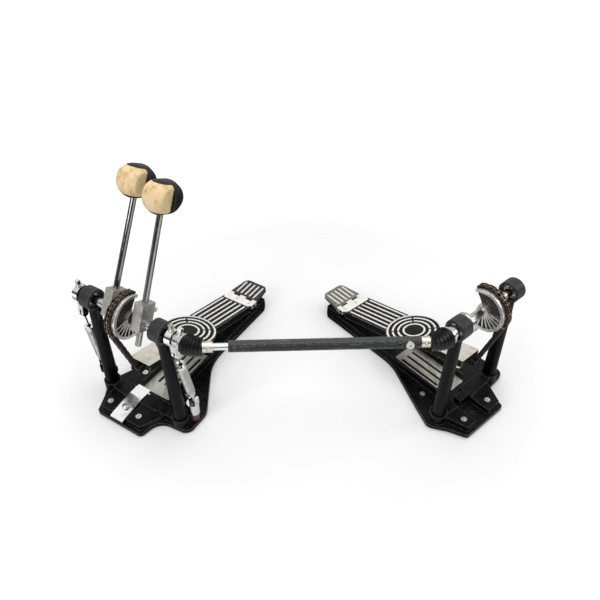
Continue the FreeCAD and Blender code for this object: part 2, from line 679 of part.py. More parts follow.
def chain_wheel(pedal):
    """Cast sector wheel: chain track, flange with rim and fan ribs, hub on the axle."""
    side = 1.0 if pedal == "main" else -1.0
    first = tangent_degrees() - link_step() * WRAP_LINKS - 4.0
    last = 292.0
    middle = size("chain_u")
    track_half = size("chain_width") / 2 - size("link_thick") * 2 - 0.4
    track_radius = size("wheel_radius") - size("link_height") / 2 - size("seat_gap")
    track_last = tangent_degrees() + WHEEL_SWING + 8.0

    def sector(inner, outer, start, thick, begin=first, finish_at=last):
        low = begin
        high = finish_at
        points = []
        for radius in (inner, outer):
            row = []
            for angle in (low, (low + high) / 2, high):
                v, z = polar(radius, angle)
                row.append(Vector(start, v, z + axle_z))
            points.append(row)
        low_row, high_row = points
        edges = [
            Part.Arc(*low_row).toShape(),
            Part.LineSegment(low_row[2], high_row[2]).toShape(),
            Part.Arc(high_row[2], high_row[1], high_row[0]).toShape(),
            Part.LineSegment(high_row[0], low_row[0]).toShape(),
        ]
        return Part.Face(Part.Wire(edges)).extrude(X_AXIS * thick)

    face = middle + side * (size("chain_width") / 2 + 0.3)
    thick = size("flange_thick")
    web = sector(7.0, size("flange_radius"), face, side * thick)
    rim = sector(size("flange_radius") - size("rim_width"), size("flange_radius"), face,
                 side * (thick + size("rim_rise")))
    track = sector(track_radius - 5.0, track_radius, middle - track_half, 2 * track_half,
                   finish_at=track_last)
    bridge = sector(track_radius - 5.0, track_radius, middle,
                    side * (size("chain_width") / 2 + 0.4), finish_at=track_last)
    hub_start = Vector(middle - side * 6.0, 0, axle_z)
    hub_end = Vector(face + side * size("hub_reach"), 0, axle_z)
    hub = cone_between(hub_start, hub_end, 10.5, 9.0)
    wheel = web.multiFuse([rim, track, bridge, hub])
    ribs = []
    rib_angle = RIB_START
    rib_rise = thick / 2 + size("rim_rise") - 0.6
    while rib_angle < last - 4.0:
        rib = Part.makeBox(rib_rise, size("flange_radius") - 12.0, size("rib_thick"))
        rib.translate(Vector(0 if side > 0 else -rib_rise, 9.5, -size("rib_thick") / 2))
        rib.rotate(Vector(), X_AXIS, rib_angle)
        rib.translate(Vector(face + side * thick / 2, 0, axle_z))
        ribs.append(rib)
        rib_angle += size("rib_step")
    wheel = wheel.multiFuse(ribs)
    tab_v, tab_z = polar(size("flange_radius") + size("tab_reach"), last - 12.0)
    tab = Part.makeCylinder(size("tab_radius"), thick + size("rim_rise"),
                            Vector(face, tab_v, tab_z + axle_z), X_AXIS * side)
    wheel = wheel.fuse(tab)
    bore_radius = size("axle_radius") + size("running_fit")
    bore = Part.makeCylinder(bore_radius, 60.0, Vector(middle - 30.0, 0, axle_z), X_AXIS)
    cast = made(pedal + "_wheel_casting", None, wheel.cut(bore).removeSplitter())
    peg_start = Vector(face, tab_v, tab_z + axle_z)
    peg = cone_between(peg_start, peg_start - X_AXIS * side * 10.0, size("tab_radius"), 4.2)
    stop = made(pedal + "_wheel_stop", None, peg)
    grouped(pedal + "_chain_wheel", pedal, [cast, stop])


# ---------------------------------------------------------------- beaters and their holders
def lean_place(word):
    """Frame of a beater: origin on the axle, z up along its rod."""
    origin = Vector(size(word + "_rod_u"), 0, axle_z)
    return Placement(origin, Rotation(X_AXIS, -size(word + "_rod_lean")))


def beater(word):
    name = word + "_beater"
    body = doc.addObject("PartDesign::Body", name + "_holder")
    half = size("holder_width") / 2
    deep = size("holder_depth") / 2
    down = size("holder_down")
    tall = size("holder_up") + down
    pad(body, [rectangle(-half, half, -deep, deep, 2.0)], "holder_up + holder_down", -down)
    rod_hole = size("rod_radius") + size("running_fit")
    pocket(body, [circle(0, 0, rod_hole)], tall + 4.0, tall + 2.0 - down)
    stub = half - size("rod_radius") - 0.8
    seat = circle(0, 0, size("axle_radius") + size("running_fit"))
    pocket(body, [seat], stub, half, role="YZ_Plane")
    pocket(body, [seat], stub, -half + stub, role="YZ_Plane")
    place = lean_place(word)
    finish(body, name + "_holder", "main", place)

    reach = size(word + "_rod_top") - 4.0
    tail = size("rod_tail")
    thread = [(0, -tail), (size("rod_radius"), -tail, 0.8), (size("rod_radius"), reach), (0, reach)]
    rod = turned(name + "_rod", "main", thread, place.Base, place.Rotation.multVec(Z_AXIS))
    rod.Placement = PEDALS["main"].multiply(place)

    head_at = place.multiply(Placement(Vector(0, 0, size(word + "_rod_top")), Rotation()))
    radius = size("head_radius")
    long = size("head_length") / 2
    # The outline is (radius, along); the head's axis lies along y, its drum side to -y.
    outline = [(0, -long), (radius - 5.0, -long, 14.0), (radius, -long + 13.0, 14.0),
               (radius, 8.0, 14.0), (radius - 8.0, long, 9.0), (0, long)]
    profile = Part.Face(Part.Wire([edge.toShape() for edge in rounded(outline)]))
    head = profile.revolve(Vector(), Y_AXIS, 360)
    rod_hole = Part.makeCylinder(size("rod_radius") + size("running_fit"), 2 * radius, Vector(0, 0, -2 * radius))
    head = head.cut(rod_hole)
    brow = size("head_brow")
    flank = size("head_flank")
    front = size("head_length") - size("head_split")
    low = Vector(-2 * radius, -size("head_split") - front, -brow)
    room = Part.makeBox(4 * radius, front, 2 * brow, low)
    low.x = -flank
    face = Part.makeBox(2 * flank, front, 2 * brow, low)
    made(name + "_wood", "main", head.common(face), head_at)
    made(name + "_rubber", "main", head.cut(room), head_at)

    screw_at = place.multVec(Vector(0, deep, size("holder_up") / 2))
    facing = place.Rotation.multiply(Rotation(Z_AXIS, Y_AXIS))
    return made(name + "_key_bolt", None, key_bolt(5.0), Placement(screw_at, facing))


def key_bolt(reach):
    """Drum-key bolt standing on its seat: round flange, neck and square head."""
    flange = Part.makeCylinder(4.0, 1.6)
    neck = Part.makeCylinder(2.6, reach)
    head = Part.makeBox(5.2, 5.2, 6.0, Vector(-2.6, -2.6, reach - 0.5))
    return flange.fuse([neck, head])


# ---------------------------------------------------------------- axles and spring rockers
def axle(name, start, end):
    radius = size("axle_radius")
    profile = [(0, 0), (radius, 0, 0.6), (radius, end - start, 0.6), (0, end - start)]
    return turned(name, None, profile, Vector(start, 0, axle_z), X_AXIS)


def axles():
    rocker_end = size("rocker_u") + size("rocker_thick") / 2
    wall = size("rod_radius") + 0.8
    main_rod = size("main_rod_u")
    second_rod = size("second_rod_u")
    holder_face = second_rod - size("holder_width") / 2
    hub_face = size("chain_u") + size("chain_width") / 2 + size("seat_gap") + size("hub_reach")
    left = axle("main_left_axle", -rocker_end - 1.0, main_rod - wall)
    centre = axle("main_centre_axle", main_rod + wall, holder_face - 1.0)
    grouped("main_axle", "main", [left, centre])

    right = axle("second_axle_bar", second_rod + wall, size("main_reach") - size("yoke_throat") - 5.0)
    bore = size("axle_radius") + size("running_fit")
    long = holder_face - hub_face - 0.5
    profile = [(bore, 0), (9.0, 0, 1.0), (9.0, long), (bore, long)]
    sleeve = turned("second_axle_sleeve", None, profile, Vector(holder_face - long, 0, axle_z), X_AXIS)
    grouped("second_axle", "main", [right, sleeve])

    start = -size("slave_reach") + size("yoke_throat") + 5.0
    bar = axle("slave_axle_bar", start, size("slave_bearing") + size("housing_length") / 2 + 1.0)
    radius = size("axle_radius")
    bore = radius + size("running_fit")
    profile = [(bore, 0), (15.0, 0, 2.0), (15.0, 6.0, 1.0), (bore, 6.0)]
    collar_at = Vector(-size("slave_bearing") + size("housing_length") / 2 + 0.6, 0, axle_z)
    collar = turned("slave_bearing_collar", None, profile, collar_at, X_AXIS)
    grouped("slave_axle", "slave", [bar, collar])


def rocker_angle(word):
    """Direction of a rocker's arm at rest, about the axle from +v over the top, in degrees."""
    return size(word + "_rocker_turn")


def rocker_pin(word):
    v, z = polar(size("rocker_arm"), rocker_angle(word))
    return Vector(0, v, axle_z + z)


def rocker(word, sign):
    name = word + "_spring_rocker"
    pin = rocker_pin(word)
    thick = size("rocker_thick")
    centre = Vector(-thick / 2, 0, axle_z)
    disc = Part.makeCylinder(12.0, thick, centre, X_AXIS)
    end = Part.makeCylinder(5.0, thick, Vector(-thick / 2, pin.y, pin.z), X_AXIS)
    arm = Part.makeBox(thick, size("rocker_arm"), 9.0, Vector(-thick / 2, 0, -4.5))
    arm.rotate(Vector(), X_AXIS, rocker_angle(word))
    arm.translate(Vector(0, 0, axle_z))
    shape = disc.multiFuse([end, arm])
    bore_radius = size("axle_radius") + size("running_fit")
    bore = Part.makeCylinder(bore_radius, 40.0, Vector(-20.0, 0, axle_z), X_AXIS)
    bore = bore.fuse(Part.makeCylinder(1.56, 40.0, Vector(-20.0, pin.y, pin.z), X_AXIS))
    slot = Part.makeBox(2.6, 14.0, 14.0, Vector(-1.3, -7.0, -7.0))
    slot.translate(Vector(0, pin.y, pin.z))
    shape = shape.cut(bore).cut(slot)
    place = Placement(Vector(sign * size("rocker_u"), 0, 0), Rotation())
    made(name, "main", shape, place)
    cross = Part.makeCylinder(1.5, thick, Vector(-thick / 2, pin.y, pin.z), X_AXIS)
    bolt_at = Vector(sign * size("rocker_u"), 0, axle_z + 12.0)
    return [
        made(word + "_rocker_pin", None, cross, place),
        made(word + "_rocker_bolt", None, key_bolt(4.0), Placement(bolt_at, Rotation())),
    ]


# ---------------------------------------------------------------- springs
def spring_anchor(word):
    """Lower hinge point of a spring, in the pedal's frame."""
    if word == "main":
        return Vector(-size("rocker_u"), size("main_anchor_v"), size("main_anchor_z"))
    return Vector(size("rocker_u"), size("second_anchor_v"), size("second_anchor_z"))


def spring(word, sign):
    """Extension spring about its own line from the lower anchor to the rocker's pin."""
    anchor = spring_anchor(word)
    pin = rocker_pin(word) + X_AXIS * sign * size("rocker_u")
    along = pin - anchor
    place = Placement(anchor, Rotation(Z_AXIS, along))
    coil_radius = size("spring_radius")
    wire = size("wire_radius")
    start = 24.0
    turns = int(size("spring_length") / (2.0 * wire))
    profile = []
    for turn in range(turns):
        low = start + turn * 2.0 * wire
        profile.append(Part.makeTorus(coil_radius - wire, wire * 1.06, Vector(0, 0, low + wire)))
    core = Part.makeCylinder(coil_radius - wire * 0.6, turns * 2 * wire, Vector(0, 0, start))
    bore = Part.makeCylinder(coil_radius - 1.7 * wire, turns * 2 * wire + 2, Vector(0, 0, start - 1))
    coil = core.multiFuse(profile).cut(bore)
    made(word + "_spring_coil", "main", coil, place)

    thread = size("rod_thread")
    eye = Part.makeCylinder(4.6, 4.6, Vector(-2.3, 0, 0), X_AXIS)
    eye = eye.cut(Part.makeCylinder(2.0 + size("running_fit"), 6.0, Vector(-3.0, 0, 0), X_AXIS))
    stem = Part.makeCylinder(thread, start - 2.0, Vector(0, 0, 4.0))
    nut = Part.makeCylinder(5.2, 4.0, Vector(0, 0, 14.0))
    plug_radius = coil_radius - 1.7 * wire - size("running_fit")
    plug = Part.makeCylinder(plug_radius, 6.0, Vector(0, 0, start - 0.1))
    seat = Part.makeCylinder(coil_radius, 2.0, Vector(0, 0, start - 2.1))
    lower = made(word + "_spring_rod", None, eye.multiFuse([stem, nut, seat, plug]), place)

    top = start + turns * 2 * wire
    cap = Part.makeCylinder(coil_radius + 0.6, 5.0, Vector(0, 0, top + 0.1))
    cap = cap.cut(Part.makeCylinder(3.0, 7.0, Vector(0, 0, top - 1.0)))
    upper = made(word + "_spring_cap", None, cap, place)
    grouped(word + "_spring_ends", "main", [lower, upper])

    reach = along.Length
    shank = Part.makeCylinder(wire, reach - 2.9 - top + 16.0, Vector(0, 0, top - 16.0))
    loop = Part.makeTorus(2.9, wire, Vector(0, 0, reach), X_AXIS)
    made(word + "_spring_hook", "main", shank.fuse(loop), place)


def spring_supports():
    """Bracket on the left post, and the stand with its wing nut on the right lobe."""
    anchor = spring_anchor("main")
    foot = size("main_foot")
    bracket = Part.makeBox(18.0, 14.0, 14.0, Vector(anchor.x - 6.0, anchor.y - 7.0, anchor.z - 14.0))
    bracket = bracket.makeFillet(3.0, [edge for edge in bracket.Edges if edge.Length > 13.9][:4])
    fork = Part.makeBox(11.0, 9.0, 11.0, Vector(anchor.x - 5.5, anchor.y - 4.5, anchor.z - 2.0))
    gap = Part.makeBox(5.6, 20.0, 40.0, Vector(anchor.x - 2.8, anchor.y - 10.0, anchor.z - 7.0))
    post = cone_between(Vector(-foot, 1.0, floor_top + size("socket_rise") - 8.0),
                        Vector(-size("main_bearing"), 0, axle_z),
                        size("post_base") + size("seat_gap") / 2, size("post_top") + size("seat_gap") / 2)
    arm = Part.makeBox(16.0, 12.0, 10.0, Vector(anchor.x + 1.0, anchor.y - 4.0, anchor.z - 13.0))
    whole = bracket.multiFuse([fork, arm]).cut(gap).cut(post)
    solids = sorted(whole.Solids, key=lambda solid: solid.Volume)
    arm = made("main_spring_arm", None, solids[-1])
    pin = Part.makeCylinder(2.0, 5.6, Vector(anchor.x - 2.8, anchor.y, anchor.z), X_AXIS)
    grouped("main_spring_bracket", "main", [arm, made("main_spring_pin", None, pin)])

    anchor = spring_anchor("second")
    centre = Vector(anchor.x - 3.0, anchor.y, floor_top)
    bush = made("second_spring_bush", None, Part.makeCylinder(7.0, 14.0, centre))
    knob_low = floor_top + 14.0
    knob = Part.makeCylinder(8.6, anchor.z - knob_low - 8.0, centre + Z_AXIS * 14.0)
    fork = Part.makeBox(11.0, 9.0, 13.0, Vector(anchor.x - 5.5, anchor.y - 4.5, anchor.z - 8.5))
    gap = Part.makeBox(5.6, 20.0, 40.0, Vector(anchor.x - 2.8, anchor.y - 10.0, anchor.z - 7.0))
    stand = made("second_spring_knob", None, knob.fuse(fork).cut(gap))
    pin = Part.makeCylinder(2.0, 5.6, Vector(anchor.x - 2.8, anchor.y, anchor.z), X_AXIS)
    pin = made("second_spring_pin", None, pin)
    grouped("second_spring_stand", "main", [bush, stand, pin])


# ---------------------------------------------------------------- universal joints and shaft
MID_STROKE = 16.5


def yoke(radius, hub_length, hub_radius):
    """Yoke about its joint's centre: hub and base on -x, two ears along y that reach past it."""
    throat = size("yoke_throat")
    base = Part.makeCylinder(radius, 3.0, Vector(-throat - 3.0, 0, 0), X_AXIS)
    ears = []
    for sign in (-1.0, 1.0):
        low = 5.0 if sign > 0 else -7.6
        ears.append(Part.makeBox(throat + 3.0, 2.6, 6.0, Vector(-throat, low, -3.0)))
    shape = base.multiFuse(ears)
    if hub_length:
        hub = Part.makeCylinder(hub_radius, hub_length, Vector(-throat - 3.0 - hub_length, 0, 0), X_AXIS)
        shape = shape.fuse(hub)
    hole = Part.makeCylinder(size("cross_pin") + size("seat_gap"), 20.0, Vector(0, -10.0, 0), Y_AXIS)
    return shape.cut(hole)


def cross_piece():
    half = size("cross_half")
    block = Part.makeBox(2 * half, 2 * half, 2 * half, Vector(-half, -half, -half))
    pins = []
    for axis in (Y_AXIS, Z_AXIS):
        pins.append(Part.makeCylinder(size("cross_pin"), 14.8, axis * -7.4, axis))
    return block.multiFuse(pins)


def boot(name, pedal, centre, axle_dir, shaft_dir):
    """Ribbed rubber sleeve over a universal joint, bent from the axle to the shaft."""
    half = size("boot_half")
    start = centre + axle_dir * half
    end = centre + shaft_dir * half
    bend = math.pi - axle_dir.getAngle(shaft_dir)
    radius = half / math.tan(bend / 2)
    inward = (axle_dir + shaft_dir).normalize()
    pivot = centre + inward * (radius / math.cos(bend / 2))
    normal = (start - pivot).cross(end - pivot).normalize()
    ribs = 6
    outer = []
    inner = []
    for step in range(2 * ribs + 1):
        share = step / (2 * ribs)
        turn = Rotation(normal, math.degrees(bend) * share)
        at = pivot + turn.multVec(start - pivot)
        facing = turn.multVec(axle_dir * -1.0)
        ridge = size("boot_big") + (size("boot_small") - size("boot_big")) * share
        valley = ridge - size("boot_groove")
        outer.append(Part.Wire(Part.makeCircle(valley if step % 2 == 0 else ridge, at, facing)))
        inner.append(Part.Wire(Part.makeCircle(valley - size("boot_wall"), at, facing)))
    shell = Part.makeLoft(outer, True, True)
    hollow = Part.makeLoft(inner, True, True)
    made(name, pedal, shell.cut(hollow))


def drive_shaft():
    z_turn = Rotation(X_AXIS, -MID_STROKE)
    # Main side. The axle's yoke has its pins level at mid-stroke.
    main_local = Placement(Vector(size("main_reach"), 0, axle_z), z_turn)
    hub = yoke(9.0, 0.0, 0.0)
    flange = Part.makeCylinder(12.4, 2.6, Vector(-size("yoke_throat") - 5.6, 0, 0), X_AXIS)
    clamp_length = size("main_reach") - size("yoke_throat") - 5.6 - size("rocker_u") - size("rocker_thick") / 2 - 1.5
    clamp = Part.makeCylinder(
        9.5, clamp_length, Vector(-size("yoke_throat") - 5.6 - clamp_length, 0, 0), X_AXIS)
    bore = Part.makeCylinder(
        size("axle_radius") + size("running_fit"), 30.0, Vector(-size("yoke_throat") - 5.0 - 30.0, 0, 0), X_AXIS)
    made("main_axle_yoke", "main", hub.multiFuse([flange, clamp]).cut(bore), main_local)
    bolt_at = main_local.multiply(
        Placement(Vector(-size("yoke_throat") - 5.6 - clamp_length / 2, 0, 9.5), Rotation()))
    yoke_bolt = made("main_yoke_bolt", None, key_bolt(3.0), bolt_at)

    slave_local = Placement(Vector(-size("slave_reach"), 0, axle_z), z_turn)
    flip = Placement(Vector(), Rotation(Z_AXIS, 180))
    clamp_length = (size("slave_reach") - size("yoke_throat") - 5.6
                    - size("slave_bearing") - size("housing_length") / 2 - 1.0)
    clamp = Part.makeCylinder(
        9.5, clamp_length, Vector(-size("yoke_throat") - 5.6 - clamp_length, 0, 0), X_AXIS)
    made("slave_axle_yoke", "slave", hub.multiFuse([flange, clamp]).cut(bore),
         slave_local.multiply(flip))

    # Crosses, square to their axles at mid-stroke.
    for word, pedal, place, beta, sign in (
        ("main", "main", main_local, size("main_splay"), -1.0),
        ("slave", "slave", slave_local, size("slave_splay"), 1.0),
    ):
        tilt = math.degrees(math.atan(math.tan(math.radians(beta)) * math.sin(math.radians(MID_STROKE))))
        made(word + "_joint_cross", pedal, cross_piece(),
             place.multiply(Placement(Vector(), Rotation(Y_AXIS, sign * tilt))))

    # Shaft: its yokes stand a quarter turn from the axles' yokes.
    for_main = math.degrees(math.atan(
        math.tan(math.radians(MID_STROKE)) / math.cos(math.radians(size("main_splay")))))
    for_slave = math.degrees(math.atan(
        math.tan(math.radians(MID_STROKE)) / math.cos(math.radians(size("slave_splay")))))
    throat = size("yoke_throat") + 3.0
    collar_end = throat + 0.8 + size("collar_length")
    tube_start = collar_end + size("rod_bare")

    fork = yoke(8.0, 1.0, 6.0)
    rod_length = size("rod_bare") + size("rod_engage") + size("collar_length")
    rod = Part.makeCylinder(size("shaft_rod"), rod_length, Vector(-throat - 1.0 - rod_length, 0, 0), X_AXIS)
    near = Placement(main_joint, Rotation(X_AXIS, 90.0 - for_main).multiply(Rotation(Z_AXIS, 180)))
    made("shaft_inner_rod", "frame", fork.fuse(rod), near)
    collar = Part.makeCylinder(size("collar_radius"), size("collar_length"),
                               Vector(-collar_end, 0, 0), X_AXIS)
    collar = collar.cut(Part.makeCylinder(size("shaft_rod"), 40.0, Vector(-collar_end - 5.0, 0, 0), X_AXIS))
    collar = collar.cut(Part.makeCylinder(2.0, 3.0, Vector(-collar_end + 5.0, 0, 5.6), Z_AXIS))
    collar = collar.cut(Part.makeCylinder(6.0, 2.0, Vector(-throat - 1.0, 0, 0), X_AXIS))
    made("shaft_inner_collar", "frame", collar, near)

    span = size("shaft_span")
    far = Placement(slave_joint, Rotation(X_AXIS, 90.0 - for_slave))
    end = throat + 1.0
    tube_far = end + size("collar_length")
    tube_length = span - tube_start - tube_far
    flats = size("tube_flat") / math.cos(math.radians(30.0))
    corners = [polar(flats, 60.0 * step) for step in range(6)]
    tube_near = -(tube_far + tube_length)
    wire = Part.makePolygon([Vector(tube_near, y, z) for y, z in corners + corners[:1]])
    tube = Part.Face(wire).extrude(X_AXIS * tube_length)
    bore_length = tube_length - 20.0
    tube = tube.cut(Part.makeCylinder(size("tube_bore"), bore_length, Vector(tube_near, 0, 0), X_AXIS))
    tube = tube.cut(turned_ring(tube_near, tube_length, flats))
    for place_x in (8.0, 16.0, 24.0, tube_length - 27.0, tube_length - 5.0):
        hole = Part.makeCylinder(1.8, 4.0, Vector(tube_near + place_x, 0, size("tube_bore") - 1.0), Z_AXIS)
        tube = tube.cut(hole)
    bar = made("shaft_bar", None, tube, far)
    grouped("shaft_tube", "frame", [bar, made("shaft_fork", None, fork, far)])
    collar = Part.makeCylinder(size("collar_radius"), size("collar_length"),
                               Vector(-end - size("collar_length"), 0, 0), X_AXIS)
    collar = collar.cut(Part.makeCylinder(2.0, 3.0, Vector(-end - 5.0, 0, 5.6), Z_AXIS))
    made("shaft_outer_collar", "frame", collar, far)
    bolt_x = tube_near + tube_length - 15.0
    bolt = Part.makeCylinder(5.0, 3.2, Vector(bolt_x, 0, size("tube_flat")), Z_AXIS)
    bolt = bolt.cut(Part.makeBox(3.2, 3.2, 3.0, Vector(bolt_x - 1.6, -1.6, size("tube_flat") + 1.4)))
    made("shaft_lock_bolt", "frame", bolt, far)

    main_axle_dir = main_place.Rotation.multVec(X_AXIS * -1.0)
    slave_axle_dir = slave_place.Rotation.multVec(X_AXIS)
    boot("main_joint_boot", "frame", main_joint, main_axle_dir, X_AXIS)
    boot("slave_joint_boot", "frame", slave_joint, slave_axle_dir, X_AXIS * -1.0)
    return yoke_bolt


def turned_ring(start, length, flats):
    """Everything outside the tube's corner circle, so that its corners are rounded."""
    keep = size("tube_flat") + (flats - size("tube_flat")) * 0.55
    outside = Part.makeCylinder(flats + 2.0, length, Vector(start, 0, 0), X_AXIS)
    return outside.cut(Part.makeCylinder(keep, length, Vector(start, 0, 0), X_AXIS))


# ---------------------------------------------------------------- hoop clamp
def hoop_clamp():
    """Chrome jaw in the main casting's channel, its hinge pin behind and its screw in front."""
    centre = size("channel_centre")
    half = size("jaw_half")
    thick = size("jaw_thick")
    hinge = Vector(centre, JAW_HINGE, floor_top + size("lug_rise") + 2.0)
    jaw = doc.addObject("PartDesign::Body", "hoop_jaw")
    section = [
        (6.0, -3.0, 1.0), (6.0, 3.5, 2.5), (-14.0, 3.5, 6.0), (-50.0, -2.0, 3.0), (-57.0, -4.0),
        (-57.0, -6.0), (-54.5, -6.0), (-48.5, -2.0 - thick + 0.4, 2.0),
        (-14.0, 3.5 - thick - 0.4, 4.0), (-6.0, 0.0, 1.0), (-4.0, -3.0, 1.0),
    ]
    pad(jaw, [section], "2 * jaw_half", -half, role="YZ_Plane")
    pocket(jaw, [circle(0, 0, 1.8 + size("running_fit"))], 2 * half + 4, half + 2.0, role="YZ_Plane")
    pocket(jaw, [circle(0, CLAMP_BACK - JAW_HINGE, size("clamp_screw") + 0.9)], 30.0, 12.0)
    finish(jaw, "hoop_jaw_plate", None, Placement(hinge, Rotation()))
    left = channel_edges()[0] + size("seat_gap")
    pin = doc.addObject("Part::Cylinder", "hoop_jaw_pin")
    pin.Radius = 1.8
    pin.setExpression("Height", bound("channel_width - 2 * seat_gap"))
    start = Placement(Vector(left, hinge.y, hinge.z), Rotation(Z_AXIS, X_AXIS))
    finish(pin, "hoop_jaw_pin", None, start)
    grouped("hoop_jaw", "main", [jaw, pin])
    seat = hinge.z + 1.1
    shank = size("clamp_screw")
    profile = [(0, mat_top + 3.0), (shank, mat_top + 3.0), (shank, seat), (5.0, seat),
               (5.0, seat + 2.5, 0.8), (2.4, seat + 4.5, 0.8), (0, seat + 4.5)]
    turned("hoop_clamp_screw", "main", profile, Vector(centre, CLAMP_BACK, 0), Z_AXIS)


for pedal in ("main", "slave"):
    base(pedal)
    uprights(pedal)
    heel(pedal)
    footboard(pedal)
    chain(pedal)
    chain_wheel(pedal)
axles()
main_bolts = [beater("main")] + rocker("main", -1.0)
second_bolts = [beater("second")] + rocker("second", 1.0)
second_bolts.append(drive_shaft())
grouped("main_key_bolts", "main", main_bolts)
grouped("second_key_bolts", "main", second_bolts)
spring("main", -1.0)
spring("second", 1.0)
spring_supports()
hoop_clamp()

# ---------------------------------------------------------------- check and write
doc.recompute()
faults = []
for thing in doc.Objects:
    if "Invalid" in thing.State or "Error" in thing.State:
        faults.append(f"{thing.Label}: {thing.State}")
for node in nodes:
    if node.Shape.isNull() or not node.Shape.isValid() or not node.Shape.Solids:
        faults.append(f"{node.Label}: no valid solid")
if faults:
    raise SystemExit("\n".join(faults))
os.makedirs("parts", exist_ok=True)
for node in nodes:
    node.Shape.exportStep(f"parts/{node.Label}.step")
print(len(nodes), "nodes written")
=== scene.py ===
"""Double bass drum pedal: two pedals joined by a telescopic drive shaft.

Both beaters are on the main pedal. Metres, +X from the main pedal to the slave pedal, +Y from
the drum to the player's heels, +Z up.
"""
import json
import math

import bpy
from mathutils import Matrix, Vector

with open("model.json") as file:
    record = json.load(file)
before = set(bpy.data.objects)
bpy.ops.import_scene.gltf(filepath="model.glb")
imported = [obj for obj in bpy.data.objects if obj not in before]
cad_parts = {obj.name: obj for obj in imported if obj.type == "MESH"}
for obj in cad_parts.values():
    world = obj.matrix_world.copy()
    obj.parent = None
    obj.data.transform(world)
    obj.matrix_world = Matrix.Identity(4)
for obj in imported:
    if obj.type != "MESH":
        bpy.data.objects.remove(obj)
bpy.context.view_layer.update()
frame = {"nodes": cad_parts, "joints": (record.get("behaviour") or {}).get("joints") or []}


# ---------------------------------------------------------------- room
# A white seamless floor under soft lamps. Bright metal sees grey walls, a white ceiling and a
# bright back wall, and the floor goes dark behind, so that the chrome shows light and dark.
def linear(code):
    """An sRGB hex colour as linear RGBA."""
    parts = [int(code[i:i + 2], 16) / 255 for i in (1, 3, 5)]
    return [p / 12.92 if p <= 0.04045 else ((p + 0.055) / 1.055) ** 2.4 for p in parts] + [1.0]


def add(owner, kind, inputs=None, **settings):
    """Adds a shader node; each input is given a value or another node's output."""
    node = owner.node_tree.nodes.new("ShaderNode" + kind)
    for name, value in settings.items():
        setattr(node, name, value)
    for key, value in (inputs or {}).items():
        if isinstance(value, bpy.types.NodeSocket):
            owner.node_tree.links.new(value, node.inputs[key])
        else:
            node.inputs[key].default_value = value
    return node


def blank(kind, name):
    """A new material or world with an empty node tree."""
    owner = getattr(bpy.data, kind).new(name)
    owner.use_nodes = True
    owner.node_tree.nodes.clear()
    return owner


def directly_seen(owner, seen):
    """1 where the camera, a mirror or clear glass sees the room, and 0 where it only lights."""
    shown = seen.outputs["Is Camera Ray"]
    for ray_kind in ("Is Glossy Ray", "Is Transmission Ray"):
        shown = add(owner, "Math", {0: shown, 1: seen.outputs[ray_kind]},
                    operation="MAXIMUM").outputs[0]
    return shown


WHITE = linear("#FFFFFF")
scene = bpy.context.scene
scene.view_settings.view_transform = "Standard"

room = blank("worlds", "studio_room")
seen = add(room, "LightPath")
ray = add(room, "TexCoord")
height = add(room, "SeparateXYZ", {0: ray.outputs["Generated"]})
walls = add(room, "ValToRGB", {0: height.outputs["Z"]})
for at, shade in ((0.04, "#8A8B8D"), (0.16, "#3C3D40"), (0.34, "#55565A"), (0.5, "#F2F2F2"),
                  (0.8, "#FFFFFF")):
    stop = walls.color_ramp.elements.new(at)
    stop.color = linear(shade)
for spare in (walls.color_ramp.elements[0], walls.color_ramp.elements[-1]):
    spare.color = WHITE
window = add(room, "MapRange", {"Value": height.outputs["Y"], "From Min": 0.35, "From Max": 0.75})
lit = walls.outputs[0]
for whitened in (window.outputs[0], seen.outputs["Is Camera Ray"]):
    lit = add(room, "Mix", {0: whitened, 6: lit, 7: WHITE}, data_type="RGBA").outputs[2]
level = add(room, "MapRange", {"Value": directly_seen(room, seen), "To Min": 0.5, "To Max": 1.0})
sky = add(room, "Background", {"Color": lit, "Strength": level.outputs[0]})
add(room, "OutputWorld", {"Surface": sky.outputs[0]})
scene.world = room

# Matt paper: a plain white that still takes the pedals' shadow.
FLOOR_REACH = 8.0  # metres across
FLOOR_GLOW = 0.16  # near the pedals, rising to 1 at the edges
paper = blank("materials", "white_paper_floor")
seen = add(paper, "LightPath")
matt = add(paper, "BsdfDiffuse", {"Color": linear("#E6E6E6"), "Roughness": 0.0})
place = add(paper, "TexCoord")
spread = add(paper, "VectorMath", {0: place.outputs["Object"]}, operation="LENGTH")
level = add(paper, "MapRange", {"Value": spread.outputs["Value"], "From Min": 0.35,
                                "From Max": 1.2, "To Min": FLOOR_GLOW})
lift = add(paper, "Math", {0: directly_seen(paper, seen), 1: level.outputs[0]},
           operation="MULTIPLY")
glow = add(paper, "Emission", {"Color": WHITE, "Strength": lift.outputs[0]})
both = add(paper, "AddShader", {0: matt.outputs[0], 1: glow.outputs[0]})
spot = add(paper, "SeparateXYZ", {0: place.outputs["Object"]})
back = add(paper, "MapRange", {"Value": spot.outputs["Y"], "From Min": -0.2, "From Max": 0.05,
                               "To Max": 0.9})
mirrored = add(paper, "Math", {0: seen.outputs["Is Glossy Ray"], 1: back.outputs[0]},
               operation="MULTIPLY")
unlit = add(paper, "Emission", {"Color": linear("#1E1E1F"), "Strength": 1.0})
paper_skin = add(paper, "MixShader", {0: mirrored.outputs[0], 1: both.outputs[0],
                                      2: unlit.outputs[0]})
add(paper, "OutputMaterial", {"Surface": paper_skin.outputs[0]})
bpy.ops.mesh.primitive_plane_add(size=FLOOR_REACH, location=(0.24, 0.1, -0.0002))
floor = bpy.context.object
floor.name = "studio_floor"
floor.data.materials.append(paper)

